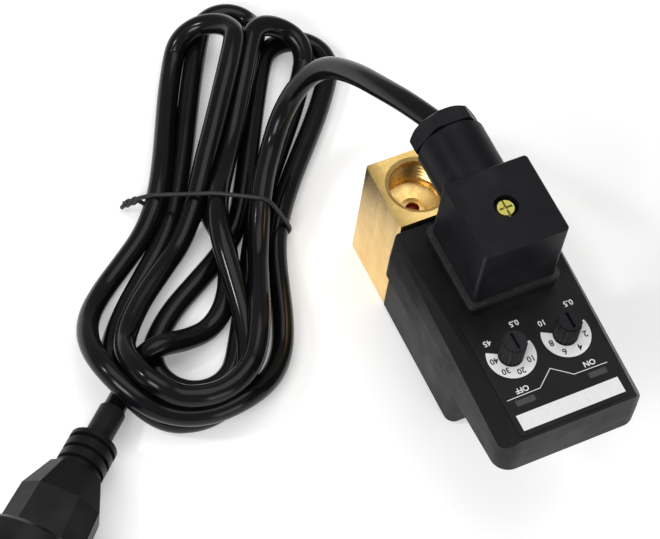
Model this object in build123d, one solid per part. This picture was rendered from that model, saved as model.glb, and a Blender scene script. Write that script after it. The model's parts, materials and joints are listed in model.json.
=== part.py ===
from build123d import *
import math
import os

# Automatic drain valve: a brass valve body with a solenoid coil, a timer case on the coil and a
# cable connector on the timer, with its mains lead.
# Frame: origin in the mouth of the lower port, +X along the solenoid, +Z up through both ports.
# Everything is in millimetres.

# ---- valve body ----
body_side = 25.0
body_height = 48.0
body_edge_chamfer = 0.5
port_r = 9.3                # minor radius of a G1/2 thread
port_depth = 13.0
port_mouth_r = 10.6
port_mouth_depth = 0.7
port_cone = 1.4
port_cone_r = 4.0
axis_z = body_height / 2    # height of the solenoid's axis
chamber_r = 8.0
chamber_depth = 7.5
orifice_r = 2.0
seat_height = 1.4
seat_wall = 1.5
feed_hole_r = 2.2
feed_hole_inset = 5.7       # from the body's coil side to the feed hole's axis
drain_hole_r = 2.3
drain_hole_x = 0.0
drain_hole_over = 0.8       # how far the drain hole runs past the orifice
feed_hole_reach = 3.0       # how far the feed hole reaches into the chamber

# ---- solenoid ----
press_clearance = 0.04
running_clearance = 0.06
tube_outer_r = 6.5
tube_wall = 0.94
tube_boss_length = 3.5
tube_end_gap = 3.9          # from the coil's outer end back to the end of the tube
core_length = 18.0
core_cap = 2.0
stud_r = 4.0
stud_length = 10.5
shading_ring_r = 4.3
shading_ring_wall = 0.9
shading_ring_depth = 1.3
plunger_gap = 2.0           # between the plunger and the fixed core at rest
plunger_nose_r = 4.4
plunger_nose_length = 2.6
plunger_groove = 1.2
seal_r = 3.3
seal_thickness = 2.8
seal_clearance = 0.05
spring_bore_r = 2.7
spring_bore_depth = 9.0
spring_wire = 0.5
spring_clearance = 0.3
spring_turns = 5.5
o_ring_wire_r = 0.75

# ---- coil ----
coil_gap = 1.0              # room for the washer between body and coil
coil_length = 48.5
coil_width = 26.4
coil_height = 46.6
coil_corner_r = 3.5
coil_bore_clearance = 0.2
winding_r = 11.0
winding_wall = 3.0
winding_end = 6.0
yoke_plate = 2.0
yoke_cover = 2.0
yoke_width = 20.0
yoke_height = 30.0
washer_r = 9.0
nut_across_flats = 13.0
nut_height = 5.0
nut_washer = 1.2
tab_width = 6.3
tab_thickness = 0.8
tab_spacing = 18.0
tab_slot_clearance = 0.4
coil_tab_rise = 6.0
coil_tab_root = 4.5
coil_gasket_thickness = 1.0
coil_gasket_margin = 1.0

# ---- timer case ----
tab_to_case_end = 4.35      # from the first coil blade's middle to the case's rear end
case_length = 78.4
case_width = 48.0
case_wall = 2.0
case_front_r = 5.5
case_rear_r = 2.5
case_split_z = 57.5
case_flat_length = 42.0     # the floor lies level on the coil for this length
case_nose_rise = 3.4        # then it climbs this much to the front
lid_top_z = 68.8
lid_rear_edge_y = 23.2
lid_rear_edge_drop = 0.7
lid_draft = 2.0             # degrees
lid_front_edge_y = 23.4
lid_front_edge_drop = 6.6
lid_front_top_y = 19.6
lip_height = 1.2
lip_wall = 0.9
lip_clearance = 0.1
corner_post_r = 3.0
corner_post_inset = 5.6
case_screw_r = 1.3
case_screw_head_r = 2.5
case_screw_head = 1.6
case_screw_reach = 6.0      # into the lid's corner posts

# ---- connector ----
plug_side = 28.0
plug_height = 25.6
plug_wall = 2.0
plug_corner_r = 1.2
plug_edge_chamfer = 0.4
plug_centre_x = 44.5
pedestal_side = 29.6
pedestal_height = 4.6
gasket_side = 31.0
gasket_thickness = 1.8
gasket_hole = 22.0
neck_r = 11.0
neck_length = 19.5
neck_wall = 2.6
neck_drop = 12.8            # from the connector's top down to the gland's axis
gland_nut_length = 5.8
gland_nut_across_flats = 20.0
gland_thread_r = 7.9
gland_thread_length = 5.0
gland_washer_thickness = 1.0
grommet_length = 9.0
screw_recess_r = 3.8
screw_recess_depth = 3.0
screw_r = 1.5
screw_head_r = 3.0
screw_head_height = 2.0
screw_slot = 0.7
screw_bite = 3.0
block_height = 12.0
block_clearance = 0.3
timer_tab_rise = 8.0
contact_wall = 0.7
contact_height = 8.0

# ---- electronics and controls ----
board_thickness = 1.6
board_z = 58.8
board_clearance = 0.5
knob_r = 3.9
knob_height = 8.5
knob_lift = 0.4
knob_flutes = 18
knob_flute_depth = 0.4
knob_cap = 0.6              # plain disc above the flutes
knob_shaft_r = 3.0
knob_hole_clearance = 0.3
knob_from_front = 27.0
knob_spread = 9.3           # each knob's distance from the middle
pot_side = 9.6
pot_height = 4.6
film_thickness = 0.3
film_gap = 1.2              # from the connector's pedestal to the film
film_front_margin = 1.6
film_side_margin = 0.6
test_from_front = 13.8
test_y = -2.0
switch_side = 6.0
switch_height = 4.0
button_r = 1.7
button_travel = 0.4
led_r = 1.5
led_from_front = 11.8
led_spread = 13.0
led_height = 4.0
led_flange = 1.0
led_leg = 0.25
led_leg_spread = 0.8
capacitor_r = 4.0
capacitor_height = 5.5
capacitor_from_knob = 11.3
capacitor_spread = 12.0
relay_size = (15.0, 11.0, 5.0)
relay_gap = 2.0             # from the case wall

# ---- mains lead ----
cord_r = 3.7
tie_wire_r = 1.0
tie_width = 50.0
tie_corner_r = 7.0
sleeve_r = 4.5
sleeve_length = 12.5
relief_length = 27.0        # sleeve and boot together
relief_r = 8.0
relief_ribs = 3
relief_rib_bevel = 1.5
relief_rib_width = 3.2
relief_rib_pitch = 4.4
relief_groove_width = 1.6
relief_groove_depth = 1.3
neck_z = 9.6                # height of the plug's neck above the table
plug_neck_width = 17.0
plug_neck_bevel = 4.5
grip_shoulder = 11.0
grip_length = 30.0
grip_width = 28.0
grip_height = 23.0
grip_bevel = 6.5
plug_head_r = 18.5
plug_head_length = 13.0
plug_head_bevel = 1.5
plug_lift = 0.3
pin_r = 2.4
pin_length = 19.0
pin_spacing = 19.0
pin_root = 4.0

# ---- places worked out from the sizes above ----
body_face_x = body_side / 2
seat_floor_x = body_face_x - chamber_depth
seat_x = seat_floor_x + seat_height
tube_inner_r = tube_outer_r - tube_wall
coil_start_x = body_face_x + coil_gap
coil_end_x = coil_start_x + coil_length
tube_end_x = coil_end_x - tube_end_gap
core_face_x = tube_end_x - core_length
plunger_r = tube_inner_r - running_clearance
plunger_end_x = core_face_x - plunger_gap
plunger_start_x = seat_x + seal_clearance + 1.0
coil_mid_x = coil_start_x + coil_length / 2
case_floor_z = coil_height + coil_gasket_thickness
case_start_x = coil_mid_x - tab_spacing / 2 - tab_to_case_end
case_end_x = case_start_x + case_length
gasket_z = lid_top_z + pedestal_height
connector_z = gasket_z + gasket_thickness
connector_top_z = connector_z + plug_height
gland_z = connector_top_z - neck_drop
neck_end_x = plug_centre_x - plug_side / 2 - neck_length
gland_end_x = neck_end_x - gland_nut_length
board_top_z = board_z + board_thickness
head_z = plug_lift + plug_head_r
knob_x = case_end_x - knob_from_front
test_x = case_end_x - test_from_front
led_x = case_end_x - led_from_front


def rod(radius, start_x, end_x, y=0.0, z=axis_z):
    """A cylinder along X."""
    plane = Plane(origin=(start_x, y, z), x_dir=(0, 1, 0), z_dir=(1, 0, 0))
    return extrude(plane * Circle(radius), end_x - start_x)


def post(radius, x, y, low_z, high_z):
    """A cylinder along Z."""
    return extrude(Plane(origin=(x, y, low_z)) * Circle(radius), high_z - low_z)


def block(x0, x1, y0, y1, z0, z1):
    """A box between its lowest and highest corners."""
    centre = Location(((x0 + x1) / 2, (y0 + y1) / 2, (z0 + z1) / 2))
    return centre * Box(x1 - x0, y1 - y0, z1 - z0)


# ---------------------------------------------------------------- valve body
def port_cavity():
    """Threaded port seen from its mouth at z = 0: chamfered mouth, bore and conical floor."""
    outline = Polyline(
        (0, 0), (port_mouth_r, 0), (port_r, port_mouth_depth), (port_r, port_depth),
        (port_cone_r, port_depth + port_cone), (0, port_depth + port_cone), close=True)
    return revolve(make_face(Plane.XZ * outline), Axis.Z)


def valve_body():
    half = body_side / 2
    solid = block(-half, half, -half, half, 0, body_height)
    solid = chamfer(solid.edges().filter_by(Axis.Z), body_edge_chamfer)
    solid -= port_cavity()
    solid -= Pos(0, 0, body_height) * (Rot(180, 0, 0) * port_cavity())
    solid -= rod(chamber_r, seat_floor_x, half)
    solid += rod(orifice_r + seat_wall, seat_floor_x, seat_x)
    solid -= rod(orifice_r, drain_hole_x, seat_x)
    drain_low = axis_z - orifice_r - drain_hole_over
    solid -= post(drain_hole_r, drain_hole_x, 0, drain_low, body_height - port_depth)
    feed_x = half - feed_hole_inset
    feed_high = axis_z - chamber_r + feed_hole_reach
    solid -= post(feed_hole_r, feed_x, 0, port_depth - feed_hole_reach, feed_high)
    return solid


def port_o_ring():
    """Ring between the floor of the chamber and the guide tube's boss."""
    ring_r = chamber_r - press_clearance - o_ring_wire_r
    ring_x = body_face_x - tube_boss_length - o_ring_wire_r
    section = Plane.XZ * (Pos(ring_r, 0) * RegularPolygon(o_ring_wire_r, 8))
    ring = revolve(section, Axis.Z)
    return Location((ring_x, 0, axis_z)) * (Rot(0, 90, 0) * ring)


# ---------------------------------------------------------------- solenoid
def guide_tube():
    boss_x = body_face_x - tube_boss_length
    tube = rod(tube_outer_r, boss_x, tube_end_x)
    tube += rod(chamber_r - press_clearance, boss_x, body_face_x)
    return tube - rod(tube_inner_r, boss_x, tube_end_x)


def fixed_core():
    core = rod(tube_inner_r, core_face_x, tube_end_x)
    core += rod(tube_outer_r, tube_end_x, tube_end_x + core_cap)
    core += rod(stud_r, tube_end_x + core_cap, tube_end_x + core_cap + stud_length)
    return core - shading_ring()


def shading_ring():
    end_x = core_face_x + shading_ring_depth
    inner_r = shading_ring_r - shading_ring_wall
    return rod(shading_ring_r, core_face_x, end_x) - rod(inner_r, core_face_x, end_x)


def plunger():
    nose_end_x = plunger_start_x + plunger_nose_length
    solid = rod(plunger_nose_r, plunger_start_x, nose_end_x)
    solid += rod(plunger_r, nose_end_x, plunger_end_x)
    groove_reach = plunger_r - plunger_groove
    for side in (-1, 1):
        low, high = sorted((side * groove_reach, side * (plunger_r + 1)))
        solid -= block(nose_end_x, plunger_end_x, low, high, axis_z - 1, axis_z + 1)
    solid -= rod(spring_bore_r, plunger_end_x - spring_bore_depth, plunger_end_x)
    return solid - plunger_seal()


def plunger_seal():
    start_x = seat_x + seal_clearance
    return rod(seal_r, start_x, start_x + seal_thickness)


def plunger_spring():
    """Return spring from the plunger's bore to the fixed core's face."""
    start_x = plunger_end_x - spring_bore_depth + spring_wire / 2 + press_clearance
    end_x = core_face_x - spring_wire / 2 - press_clearance
    coil_r = spring_bore_r - spring_clearance - spring_wire / 2
    height = end_x - start_x
    path = Helix(pitch=height / spring_turns, height=height, radius=coil_r)
    section = Plane(origin=path @ 0, z_dir=path % 0) * RegularPolygon(spring_wire / 2, 4)
    wire = sweep(section, path=path)
    return Location((start_x, 0, axis_z)) * (Rot(0, 90, 0) * wire)


def coil_yoke():
    """Steel frame inside the coil: two end plates joined below the winding."""
    half = yoke_width / 2
    low_z = axis_z - yoke_height / 2 - yoke_plate
    high_z = axis_z + yoke_height / 2
    first = coil_start_x + yoke_cover
    last = coil_end_x - yoke_cover
    frame = block(first, first + yoke_plate, -half, half, low_z, high_z)
    frame += block(last - yoke_plate, last, -half, half, low_z, high_z)
    frame += block(first, last, -half, half, low_z, low_z + yoke_plate)
    return frame - rod(tube_outer_r + coil_bore_clearance, first, last)


def coil_winding():
    start = coil_start_x + winding_end
    end = coil_end_x - winding_end
    return rod(winding_r, start, end) - rod(winding_r - winding_wall, start, end)


def coil_tab_places():
    """Plan position and direction of the coil's three blades: two live and one earth."""
    return [
        (coil_mid_x - tab_spacing / 2, 0.0, "wide_y"),
        (coil_mid_x + tab_spacing / 2, 0.0, "wide_y"),
        (coil_mid_x, -tab_spacing / 3, "wide_x"),
    ]


def blade(x, y, direction, low_z, high_z, extra=0.0):
    wide = tab_width / 2 + extra
    thin = tab_thickness / 2 + extra
    half_x, half_y = (thin, wide) if direction == "wide_y" else (wide, thin)
    return block(x - half_x, x + half_x, y - half_y, y + half_y, low_z, high_z)


def coil_blades(extra=0.0):
    low_z = coil_height - coil_tab_root
    high_z = case_floor_z + coil_tab_rise
    return [blade(x, y, way, low_z, high_z, extra) for x, y, way in coil_tab_places()]


def coil_terminals():
    return Compound(coil_blades())


def coil_body():
    half = coil_width / 2
    solid = block(coil_start_x, coil_end_x, -half, half, 0, coil_height)
    outer_edges = solid.edges().filter_by(Axis.Z).group_by(Axis.X)[-1]
    solid = fillet(outer_edges, coil_corner_r)
    solid = fillet(solid.faces().sort_by(Axis.X)[-1].edges().sort_by(Axis.Z)[0], coil_corner_r / 2)
    solid -= rod(tube_outer_r + coil_bore_clearance, coil_start_x, coil_end_x)
    solid -= coil_yoke()
    solid -= coil_winding()
    for tab in coil_blades():
        solid -= tab
    return solid


def coil_washer():
    ring = rod(washer_r, body_face_x, coil_start_x)
    return ring - rod(tube_outer_r + press_clearance, body_face_x, coil_start_x)


def coil_nut():
    """Hexagon nut and its washer, which hold the coil on the stud."""
    start_x = coil_end_x
    washer = rod(washer_r, start_x, start_x + nut_washer)
    plane = Plane(origin=(start_x + nut_washer, 0, axis_z), x_dir=(0, 1, 0), z_dir=(1, 0, 0))
    hexagon = extrude(plane * RegularPolygon(nut_across_flats / 2, 6, major_radius=False), nut_height)
    crown = rod(nut_across_flats * 0.56, start_x + nut_washer, start_x + nut_washer + nut_height)
    crown = chamfer(crown.faces().sort_by(Axis.X)[-1].edges(), 0.6)
    solid = washer + (hexagon & crown)
    return solid - rod(stud_r, start_x, start_x + nut_washer + nut_height)


def coil_gasket():
    half = coil_width / 2 - coil_gasket_margin
    start = max(case_start_x, coil_start_x) + coil_gasket_margin
    end = coil_end_x - coil_gasket_margin - coil_corner_r
    pad = block(start, end, -half, half, coil_height, case_floor_z)
    for tab in coil_blades(tab_slot_clearance):
        pad -= tab
    return pad


# ---------------------------------------------------------------- timer case
def case_outline(z, inset=0.0):
    """Plan of the case at one height: rounder corners at the front than at the back."""
    half = case_width / 2 - inset
    front_r = case_front_r - inset
    rear_r = max(case_rear_r - inset, 0.3)
    face = Plane(origin=(0, 0, z)) * (Pos(case_start_x + case_length / 2, 0)
                                      * Rectangle(case_length - 2 * inset, 2 * half))
    rear, front = face.vertices().group_by(Axis.X)[0], face.vertices().group_by(Axis.X)[-1]
    face = fillet(front, front_r)
    corners = face.vertices().group_by(Axis.X)[0]
    return fillet(corners, rear_r)


def base_side(offset=0.0):
    """Side view of the base, level over the coil and rising to the front."""
    low = case_floor_z + offset
    bend_x = case_start_x + case_flat_length
    return Polyline(
        (case_start_x - 1, low), (bend_x, low), (case_end_x, low + case_nose_rise),
        (case_end_x + 1, low + case_nose_rise), (case_end_x + 1, case_split_z + lip_height + 1),
        (case_start_x - 1, case_split_z + lip_height + 1), close=True)


def side_prism(outline):
    """The full width of the case under an outline drawn in X and Z."""
    face = make_face(Plane.XZ * outline)
    return extrude(face, case_width, both=True)


def screw_places():
    """The case screws stand in the four corners."""
    xs = (case_start_x + corner_post_inset, case_end_x - corner_post_inset)
    ys = (-case_width / 2 + corner_post_inset, case_width / 2 - corner_post_inset)
    return [(x, y) for x in xs for y in ys]


def floor_z(x):
    """Underside of the base at a distance along the case."""
    bend_x = case_start_x + case_flat_length
    rise = max(0.0, (x - bend_x) / (case_end_x - bend_x)) * case_nose_rise
    return case_floor_z + rise


def timer_base():
    height = case_split_z + lip_height - case_floor_z
    outer = extrude(case_outline(case_floor_z), case_split_z - case_floor_z)
    lip = extrude(case_outline(case_split_z, case_wall - lip_wall), lip_height)
    shell = (outer + lip) & side_prism(base_side())
    hollow = extrude(case_outline(case_floor_z, case_wall), height) & side_prism(base_side(case_wall))
    shell -= hollow
    for x, y in screw_places():
        shell += post(corner_post_r, x, y, floor_z(x) + case_wall / 2, case_split_z)
        shell -= post(case_screw_r, x, y, case_floor_z, case_split_z + lip_height)
        shell -= post(case_screw_head_r, x, y, case_floor_z - 1, floor_z(x) + case_screw_head)
    for tab in coil_blades(tab_slot_clearance):
        shell -= tab
    return shell


def bevel_plane(side, inset=0.0):
    """Plane of the bevel along one side of the lid, which widens towards the front."""
    rear_edge = Vector(case_start_x, side * lid_rear_edge_y, lid_top_z - lid_rear_edge_drop)
    front_edge = Vector(case_end_x, side * lid_front_edge_y, lid_top_z - lid_front_edge_drop)
    front_top = Vector(case_end_x, side * lid_front_top_y, lid_top_z)
    normal = (front_edge - rear_edge).cross(front_top - front_edge).normalized()
    if normal.Y * side < 0:
        normal = normal * -1
    return Plane(origin=front_top - normal * inset, x_dir=front_edge - rear_edge, z_dir=normal)


def lid_block(inset=0.0):
    """The lid as a solid block, drafted and bevelled, smaller by an inset all round."""
    height = lid_top_z - inset - case_split_z
    tall = extrude(case_outline(case_split_z, inset), height, taper=lid_draft)
    for side in (-1, 1):
        tall = split(tall, bisect_by=bevel_plane(side, inset), keep=Keep.BOTTOM)
    return tall


def knob_places():
    return [(knob_x, -knob_spread), (knob_x, knob_spread)]


def led_places():
    return [(led_x, -led_spread), (led_x, led_spread)]


def timer_tab_places():
    """Blades that stand up into the connector."""
    return [
        (plug_centre_x - tab_spacing / 2, 0.0, "wide_y"),
        (plug_centre_x + tab_spacing / 2, 0.0, "wide_y"),
        (plug_centre_x, -tab_spacing / 3, "wide_x"),
    ]


def timer_blades(extra=0.0):
    high_z = connector_z + timer_tab_rise
    return [blade(x, y, way, board_top_z, high_z, extra) for x, y, way in timer_tab_places()]


def timer_lid():
    shell = lid_block() - lid_block(case_wall)
    lip_room = extrude(case_outline(case_split_z, case_wall - lip_wall - lip_clearance),
                       lip_height + lip_clearance)
    shell -= lip_room
    half = pedestal_side / 2
    pedestal = block(plug_centre_x - half, plug_centre_x + half, -half, half, lid_top_z - case_wall, gasket_z)
    pedestal = fillet(pedestal.edges().filter_by(Axis.Z), plug_corner_r)
    shell += pedestal
    boss_r = screw_r * 2
    shell += post(boss_r, plug_centre_x, 0, lid_top_z - case_wall - 1, lid_top_z)
    inner = half - 2 * case_wall
    well = block(plug_centre_x - inner, plug_centre_x + inner, -inner, inner, lid_top_z - case_wall - 1,
                 gasket_z - case_wall)
    well -= post(boss_r, plug_centre_x, 0, lid_top_z - case_wall - 1, gasket_z)
    shell -= well
    shell -= post(screw_r, plug_centre_x, 0, gasket_z - screw_bite, gasket_z)
    for x, y in screw_places():
        column = post(corner_post_r, x, y, case_split_z, lid_top_z - case_wall / 2)
        shell += column & lid_block()
        shell -= post(case_screw_r, x, y, case_split_z, case_split_z + case_screw_reach)
    for x, y in knob_places():
        shell -= post(knob_shaft_r + knob_hole_clearance, x, y, case_split_z, lid_top_z + 1)
    for x, y in led_places():
        shell -= post(led_r + press_clearance, x, y, case_split_z + lip_height, lid_top_z + 1)
    shell -= post(button_r + knob_hole_clearance, test_x, test_y, case_split_z + lip_height, lid_top_z + 1)
    for tab in timer_blades(tab_slot_clearance):
        shell -= tab
    return shell


def case_screws():
    """Four screws from below: countersunk heads and shanks."""
    screws = []
    for x, y in screw_places():
        head_z = floor_z(x) + case_screw_head
        head = post(case_screw_head_r - press_clearance, x, y, head_z - case_screw_head * 0.7, head_z)
        shank = post(case_screw_r, x, y, head_z, case_split_z + case_screw_reach)
        screws.append(head + shank)
    return Compound(screws)


def panel_film():
    """Printed overlay on the flat part of the lid."""
    start = plug_centre_x + gasket_side / 2 + film_gap
    end = case_end_x - film_front_margin
    half = lid_front_top_y - film_side_margin
    sheet = block(start, end, -half, half, lid_top_z, lid_top_z + film_thickness)
    sheet = fillet(sheet.edges().filter_by(Axis.Z), 1.5)
    for x, y in knob_places():
        sheet -= post(knob_shaft_r + knob_hole_clearance, x, y, lid_top_z - 1, lid_top_z + 1)
    return sheet


# ---------------------------------------------------------------- electronics and controls
def circuit_board():
    outline = case_outline(board_z, case_wall + board_clearance)
    board = extrude(outline, board_thickness)
    for x, y in screw_places():
        half = corner_post_r + board_clearance
        reach = corner_post_inset + 1
        x_far = x - reach if x < plug_centre_x else x + reach
        y_far = y - reach if y < 0 else y + reach
        x_near = x + half if x < plug_centre_x else x - half
        y_near = y + half if y < 0 else y - half
        board -= block(min(x_far, x_near), max(x_far, x_near), min(y_far, y_near), max(y_far, y_near),
                       board_z - 1, board_top_z + 1)
    return board


def board_parts():
    """Relay and two upright capacitors between the terminals and the knobs, and the blade feet."""
    length, width, height = relay_size
    relay_x = plug_centre_x
    relay_y = case_wall + relay_gap
    relay = block(relay_x - length / 2, relay_x + length / 2, relay_y, relay_y + width, board_top_z,
                  board_top_z + height)
    can_x = knob_x - capacitor_from_knob
    can_top = board_top_z + capacitor_height
    cans = [post(capacitor_r, can_x, y, board_top_z, can_top) for y in (-capacitor_spread, capacitor_spread)]
    return Compound([relay] + cans)


def timer_terminals():
    return Compound(timer_blades())


def coil_sockets():
    """Female contacts under the board, which grip the coil's blades."""
    sockets = []
    for x, y, way in coil_tab_places():
        outer = blade(x, y, way, case_floor_z + case_wall + 0.5, board_z, contact_wall)
        sockets.append(outer - blade(x, y, way, case_floor_z, case_floor_z + coil_tab_rise + 0.2, 0.02))
    return Compound(sockets)


def potentiometer(x, y):
    half = pot_side / 2
    case = block(x - half, x + half, y - half, y + half, board_top_z, board_top_z + pot_height)
    case = chamfer(case.edges().filter_by(Axis.Z), 1.0)
    bore_r = knob_shaft_r * 0.6 + running_clearance
    return case - post(bore_r, x, y, board_top_z + 1, board_top_z + pot_height)


def control_knob(x, y):
    """Fluted knob with its shaft, which turns in the potentiometer."""
    low = lid_top_z + film_thickness + knob_lift
    high = low + knob_height
    outline = []
    for index in range(2 * knob_flutes):
        angle = math.pi * index / knob_flutes
        reach = knob_r - knob_flute_depth * (index % 2)
        outline.append((x + reach * math.cos(angle), y + reach * math.sin(angle)))
    star = Plane(origin=(0, 0, low)) * make_face(Polyline(*outline, close=True))
    knob = extrude(star, knob_height - knob_cap)
    knob += post(knob_r - knob_flute_depth, x, y, high - knob_cap, high)
    slot_r = knob_r * 0.72
    knob -= block(x - slot_r, x + slot_r, y - 0.5, y + 0.5, high - 1.2, high + 1)
    knob += post(knob_shaft_r, x, y, board_top_z + pot_height + 0.2, low)
    knob += post(knob_shaft_r * 0.6, x, y, board_top_z + 1.2, low)
    return knob


def test_switch():
    half = switch_side / 2
    case = block(test_x - half, test_x + half, test_y - half, test_y + half, board_top_z,
                 board_top_z + switch_height)
    return case - post(button_r + running_clearance, test_x, test_y, board_top_z + 1.5,
                       board_top_z + switch_height)


def test_button():
    low = board_top_z + 1.5 + button_travel + 0.15
    return post(button_r, test_x, test_y, low, lid_top_z - 0.1)


def status_lights():
    lights = []
    for x, y in led_places():
        light = post(led_r, x, y, lid_top_z - led_height, lid_top_z - 0.05)
        light += post(led_r + 0.4, x, y, lid_top_z - led_height - led_flange, lid_top_z - led_height)
        for side in (-led_leg_spread, led_leg_spread):
            light += block(x - led_leg, x + led_leg, y + side - led_leg, y + side + led_leg, board_top_z,
                           lid_top_z - led_height - led_flange / 2)
        lights.append(light)
    return Compound(lights)


# ---------------------------------------------------------------- connector
def connector_gasket():
    half = gasket_side / 2
    pad = block(plug_centre_x - half, plug_centre_x + half, -half, half, gasket_z, connector_z)
    pad = fillet(pad.edges().filter_by(Axis.Z), plug_corner_r + 0.7)
    hole = gasket_hole / 2
    opening = block(plug_centre_x - hole, plug_centre_x + hole, -hole, hole, gasket_z, connector_z)
    bridge = post(screw_r * 2, plug_centre_x, 0, gasket_z, connector_z)
    web = block(plug_centre_x - hole, plug_centre_x + hole, hole / 2 - 1, hole / 2 + 1, gasket_z, connector_z)
    pad = pad - opening + web + bridge
    spoke = block(plug_centre_x - 0.8, plug_centre_x + 0.8, 0, hole / 2, gasket_z, connector_z)
    pad += spoke
    return pad - post(screw_r + 0.2, plug_centre_x, 0, gasket_z, connector_z)


def connector_housing():
    half = plug_side / 2
    shell = block(plug_centre_x - half, plug_centre_x + half, -half, half, connector_z, connector_top_z)
    shell = fillet(shell.edges().filter_by(Axis.Z), plug_corner_r)
    shell = chamfer(shell.faces().sort_by(Axis.Z)[-1].edges(), plug_edge_chamfer)
    neck = rod(neck_r, neck_end_x, plug_centre_x, 0, gland_z)
    neck = chamfer(neck.faces().sort_by(Axis.X)[0].edges(), 2 * plug_edge_chamfer)
    neck += rod(gland_thread_r, neck_end_x - gland_thread_length, neck_end_x, 0, gland_z)
    shell += neck
    inner = half - plug_wall
    cavity = block(plug_centre_x - inner, plug_centre_x + inner, -inner, inner, connector_z,
                   connector_top_z - plug_wall)
    column = post(screw_recess_r + plug_wall, plug_centre_x, 0, connector_z + block_height + block_clearance,
                  connector_top_z)
    shell -= cavity - column
    bore_start = neck_end_x - gland_thread_length
    shell -= rod(neck_r - neck_wall - 2.0, bore_start, plug_centre_x - inner, 0, gland_z)
    shell -= post(screw_recess_r, plug_centre_x, 0, connector_top_z - screw_recess_depth, connector_top_z + 1)
    shell -= post(screw_r + 0.2, plug_centre_x, 0, connector_z, connector_top_z)
    return shell


def connector_block():
    """Contact carrier inside the housing."""
    half = plug_side / 2 - plug_wall - block_clearance
    carrier = block(plug_centre_x - half, plug_centre_x + half, -half, half, connector_z,
                    connector_z + block_height)
    carrier -= post(screw_r + 0.2, plug_centre_x, 0, connector_z, connector_z + block_height)
    for x, y, way in timer_tab_places():
        carrier -= blade(x, y, way, connector_z, connector_z + contact_height + 1.5, contact_wall)
    return carrier


def connector_contacts():
    """Female contacts, which grip the timer's blades."""
    sleeves = []
    for x, y, way in timer_tab_places():
        low = connector_z + 0.5
        sleeve = blade(x, y, way, low, low + contact_height + 0.5, contact_wall)
        sleeves.append(sleeve - blade(x, y, way, connector_z, connector_z + timer_tab_rise, 0.02))
    return Compound(sleeves)


def gland_grommet():
    outer_r = neck_r - neck_wall - 2.0 - press_clearance
    start = neck_end_x - gland_thread_length + gland_washer_thickness
    ring = rod(outer_r, start, start + grommet_length, 0, gland_z)
    return ring - rod(cord_r, start, start + grommet_length, 0, gland_z)


def gland_washer():
    outer_r = neck_r - neck_wall - 2.0 - press_clearance
    start = neck_end_x - gland_thread_length
    ring = rod(outer_r, start, start + gland_washer_thickness, 0, gland_z)
    return ring - rod(cord_r + 0.2, start, start + gland_washer_thickness, 0, gland_z)


def gland_nut():
    """Hexagon cap with rounded shoulders, screwed over the end of the neck."""
    plane = Plane(origin=(gland_end_x, 0, gland_z), x_dir=(0, 1, 0), z_dir=(1, 0, 0))
    hexagon = extrude(plane * RegularPolygon(gland_nut_across_flats / 2, 6, major_radius=False),
                      gland_nut_length - 0.4)
    crown_r = gland_nut_across_flats * 0.555
    crown = rod(crown_r, gland_end_x, neck_end_x - 0.4, 0, gland_z)
    crown = chamfer(crown.faces().sort_by(Axis.X)[0].edges(), 1.0)
    nut = hexagon & crown
    nut -= rod(gland_thread_r + press_clearance, neck_end_x - gland_thread_length, neck_end_x, 0, gland_z)
    return nut - rod(cord_r + 0.5, gland_end_x, neck_end_x, 0, gland_z)


def connector_screw():
    """Long screw that clamps the connector to the timer."""
    head_z = connector_top_z - screw_recess_depth
    head = post(screw_head_r, plug_centre_x, 0, head_z, head_z + screw_head_height)
    head = chamfer(head.faces().sort_by(Axis.Z)[-1].edges(), 0.4)
    half_slot = screw_slot / 2
    for slot in ((screw_head_r, half_slot), (half_slot, screw_head_r * 0.7)):
        head -= block(plug_centre_x - slot[0], plug_centre_x + slot[0], -slot[1], slot[1],
                      head_z + screw_head_height - 0.9, head_z + screw_head_height)
    return head + post(screw_r, plug_centre_x, 0, gasket_z - screw_bite, head_z)


# ---------------------------------------------------------------- mains lead
# Where the lead runs, from the gland down to the hank.
lead_route = [
    (gland_end_x, 0, gland_z), (-7.5, -3.2, 84), (-21, -5.6, 76.2), (-36, -7.2, 66), (-50.5, -9.5, 52.5),
    (-55.5, -15, 39.5), (-53.5, -22, 27.5), (-46, -29, 19.5),
]
# From under the hank to the plug's boot.
tail_route = [(7.5, -101, 4.2), (13.2, -106.9, 4.3), (18, -112.4, 5.2)]
plug_heading = 313.0        # direction of the plug on the table, in degrees from +X

# Outline of the tied hank: distance along its axis and to either side of it.
hank_middle = (-38.0, -53.0)
hank_heading = 147.0
hank_height = 20.0
hank_outline = [
    (-80, 2), (-77, -15), (-66, -30), (-48, -35), (-22, -28), (2, -24.5), (26, -28), (50, -33), (68, -29),
    (78, -14), (84, 2), (79, 14), (66, 23), (44, 27), (20, 23.5), (2, 23), (-18, 31), (-42, 37), (-62, 34.5),
    (-76, 24),
]


def route_radii(points):
    """The largest arc that fits at each corner of a route."""
    radii = []
    for before, corner, after in zip(points, points[1:], points[2:]):
        into = Vector(*corner) - Vector(*before)
        out = Vector(*after) - Vector(*corner)
        half_turn = math.radians(into.get_angle(out)) / 2
        radii.append(0.45 * min(into.length, out.length) / math.tan(half_turn))
    return radii


def cord_tube(name, points):
    """A round tube along straight runs joined by tangent arcs."""
    radii = route_radii(points)
    if len(points) > 2:
        path = FilletPolyline(*points, radius=radii)
    else:
        path = Polyline(*points)
    section = Plane(origin=path @ 0, z_dir=path % 0) * Circle(cord_r)
    tube = sweep(section, path=path)
    ideal = math.pi * cord_r ** 2 * path.length
    print(name, "length", round(path.length, 1), "radii", [round(r, 1) for r in radii],
          "volume ratio", round(tube.volume / ideal, 4))
    return tube


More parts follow.
